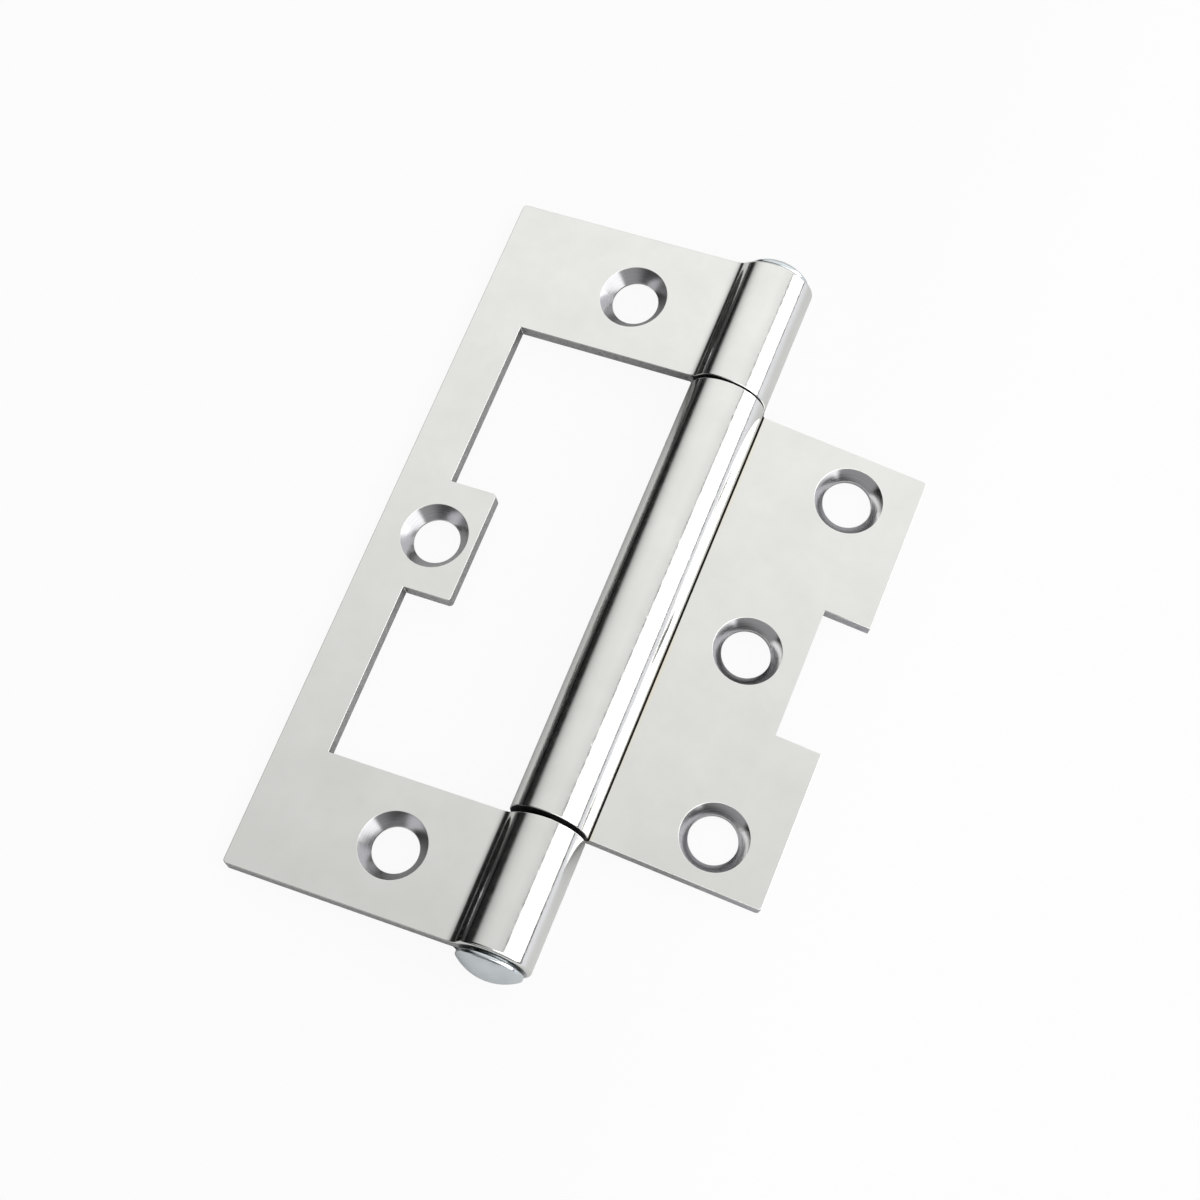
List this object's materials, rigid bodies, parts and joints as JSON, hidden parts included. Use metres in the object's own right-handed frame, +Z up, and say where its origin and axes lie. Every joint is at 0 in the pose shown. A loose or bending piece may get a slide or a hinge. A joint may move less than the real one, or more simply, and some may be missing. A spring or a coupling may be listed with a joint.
{
  "type": "door hinge",
  "caption": "Steel flush door hinge, open: a windowed outer leaf with rolled end knuckles, an inner leaf that nests into its window, countersunk screw holes and a domed fixed pin.",
  "frame": {"origin": "on the pin axis at the middle of the outer leaf", "axes": "+Y along the pin, towards its riveted upper head; +Z up from the surface that the open hinge lies on, out of the countersunk faces; the outer leaf is on the -X side and the inner leaf on the +X side"},
  "size_m": [0.0648, 0.1048, 0.0105],
  "materials": {
    "plated_sheet": "bright zinc plate over smooth cold-rolled steel sheet",
    "plated_pin": "bluish bright zinc plate"
  },
  "bodies": {
    "outer_side": {"outer_leaf": "plated_sheet", "hinge_pin": "plated_pin"},
    "inner_side": {"inner_leaf": "plated_sheet"}
  },
  "joints": [
    {"name": "leaf_swing", "type": "hinge", "parent": "outer_side", "child": "inner_side", "pos_m": [0, 0, 0], "axis": [0, -1, 0], "range_deg": [-75.5, 194.5]}
  ]
}
